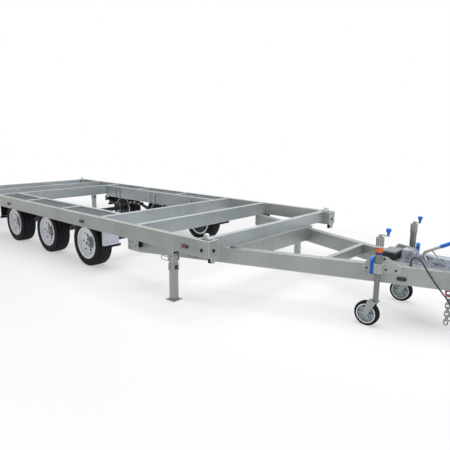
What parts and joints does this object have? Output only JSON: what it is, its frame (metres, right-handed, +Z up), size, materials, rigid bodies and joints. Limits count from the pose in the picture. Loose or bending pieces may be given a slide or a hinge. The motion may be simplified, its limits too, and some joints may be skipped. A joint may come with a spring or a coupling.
{
  "type": "container trailer",
  "caption": "Skeletal trailer for a shipping container: galvanised frame with twist locks at the corners, leaf-sprung axles, drawbar with jockey wheels and fold-up stands",
  "frame": {"origin": "centre of the footprint, on the ground", "axes": "+X forward to the coupling, +Y left, +Z up"},
  "size_m": [8.193, 2.443, 0.901],
  "materials": {
    "galvanised": "hot-dip galvanised, dull grey",
    "zinc": "bright zinc plated",
    "cast_zinc": "galvanised casting",
    "black_paint": "black paint",
    "red_paint": "red paint",
    "white_rim": "white paint",
    "tyre": "matt rubber",
    "rubber": "matt rubber",
    "cable": "smooth sheath",
    "blue_plastic": "blue moulded",
    "black_plastic": "black moulded",
    "grey_plastic": "grey moulded",
    "red_lens": "lens"
  },
  "bodies": {
    "chassis": {"side_rails": "galvanised", "end_members": "galvanised", "cross_members": "galvanised", "inner_rails": "galvanised", "corner_housings": "galvanised", "twist_locks": "zinc", "drawbar_beams": "galvanised", "drawbar_cross_members": "galvanised", "drawbar_end_brackets": "galvanised", "nose_plate": "galvanised", "wheel_guards": "galvanised", "guard_aprons": "galvanised", "axles": "black_paint", "leaf_springs": "black_paint", "spring_clamps": "zinc", "spring_hangers": "black_paint", "spring_rockers": "black_paint", "stand_brackets": "galvanised", "jockey_tubes": "zinc", "jockey_cranks": "zinc", "jockey_clamps": "zinc", "coupling_body": "cast_zinc", "coupling_head": "cast_zinc", "brake_lever": "zinc", "hand_grips": "blue_plastic", "battery_box": "black_plastic", "battery_lid": "grey_plastic", "marker_lamps": "black_plastic", "tail_lamps": "red_lens", "safety_chains": "zinc", "chain_eyes": "red_paint", "tow_lead": "cable", "lead_gland": "black_plastic", "lead_coil": "cable", "lead_plug": "black_plastic", "brake_wires": "cable"},
    "wheel_front_left": {"tyre_front_left": "tyre", "rim_front_left": "white_rim"},
    "wheel_front_right": {"tyre_front_right": "tyre", "rim_front_right": "white_rim"},
    "wheel_mid_left": {"tyre_mid_left": "tyre", "rim_mid_left": "white_rim"},
    "wheel_mid_right": {"tyre_mid_right": "tyre", "rim_mid_right": "white_rim"},
    "wheel_rear_left": {"tyre_rear_left": "tyre", "rim_rear_left": "white_rim"},
    "wheel_rear_right": {"tyre_rear_right": "tyre", "rim_rear_right": "white_rim"},
    "stand_front_left": {"stand_leg_front_left": "zinc"},
    "stand_front_right": {"stand_leg_front_right": "zinc"},
    "stand_rear_left": {"stand_leg_rear_left": "zinc"},
    "stand_rear_right": {"stand_leg_rear_right": "zinc"},
    "jockey_leg_left": {"jockey_leg_left": "zinc"},
    "jockey_fork_left": {"jockey_fork_left": "zinc"},
    "jockey_wheel_left": {"jockey_tyre_left": "rubber", "jockey_rim_left": "white_rim"},
    "jockey_leg_right": {"jockey_leg_right": "zinc"},
    "jockey_fork_right": {"jockey_fork_right": "zinc"},
    "jockey_wheel_right": {"jockey_tyre_right": "rubber", "jockey_rim_right": "white_rim"}
  },
  "joints": [
    {"name": "spin_front_left", "type": "hinge", "parent": "chassis", "child": "wheel_front_left", "pos_m": [-0.2835, 1.015, 0.3], "axis": [0, 1, 0], "continuous": true},
    {"name": "spin_front_right", "type": "hinge", "parent": "chassis", "child": "wheel_front_right", "pos_m": [-0.2835, -1.015, 0.3], "axis": [0, 1, 0], "continuous": true},
    {"name": "spin_mid_left", "type": "hinge", "parent": "chassis", "child": "wheel_mid_left", "pos_m": [-1.2885, 1.015, 0.3], "axis": [0, 1, 0], "continuous": true},
    {"name": "spin_mid_right", "type": "hinge", "parent": "chassis", "child": "wheel_mid_right", "pos_m": [-1.2885, -1.015, 0.3], "axis": [0, 1, 0], "continuous": true},
    {"name": "spin_rear_left", "type": "hinge", "parent": "chassis", "child": "wheel_rear_left", "pos_m": [-2.2935, 1.015, 0.3], "axis": [0, 1, 0], "continuous": true},
    {"name": "spin_rear_right", "type": "hinge", "parent": "chassis", "child": "wheel_rear_right", "pos_m": [-2.2935, -1.015, 0.3], "axis": [0, 1, 0], "continuous": true},
    {"name": "swing_front_left", "type": "hinge", "parent": "chassis", "child": "stand_front_left", "pos_m": [1.4165, 1.1615, 0.465], "axis": [0, 1, 0], "range_deg": [0, 90]},
    {"name": "swing_front_right", "type": "hinge", "parent": "chassis", "child": "stand_front_right", "pos_m": [1.4165, -1.1615, 0.465], "axis": [0, 1, 0], "range_deg": [0, 90]},
    {"name": "swing_rear_left", "type": "hinge", "parent": "chassis", "child": "stand_rear_left", "pos_m": [-3.6535, 1.1615, 0.465], "axis": [0, -1, 0], "range_deg": [0, 90]},
    {"name": "swing_rear_right", "type": "hinge", "parent": "chassis", "child": "stand_rear_right", "pos_m": [-3.6535, -1.1615, 0.465], "axis": [0, -1, 0], "range_deg": [0, 90]},
    {"name": "lift_left", "type": "slide", "parent": "chassis", "child": "jockey_leg_left", "axis": [0, 0, 1], "range_m": [-0.1, 0.14]},
    {"name": "swivel_left", "type": "hinge", "parent": "jockey_leg_left", "child": "jockey_fork_left", "pos_m": [3.2135, 0.41299, 0.238], "axis": [0, 0, 1], "continuous": true},
    {"name": "castor_spin_left", "type": "hinge", "parent": "jockey_fork_left", "child": "jockey_wheel_left", "pos_m": [3.1435, 0.41299, 0.112], "axis": [0, 1, 0], "continuous": true},
    {"name": "lift_right", "type": "slide", "parent": "chassis", "child": "jockey_leg_right", "axis": [0, 0, 1], "range_m": [-0.1, 0.14]},
    {"name": "swivel_right", "type": "hinge", "parent": "jockey_leg_right", "child": "jockey_fork_right", "pos_m": [3.2135, -0.41299, 0.238], "axis": [0, 0, 1], "continuous": true},
    {"name": "castor_spin_right", "type": "hinge", "parent": "jockey_fork_right", "child": "jockey_wheel_right", "pos_m": [3.1435, -0.41299, 0.112], "axis": [0, 1, 0], "continuous": true}
  ]
}
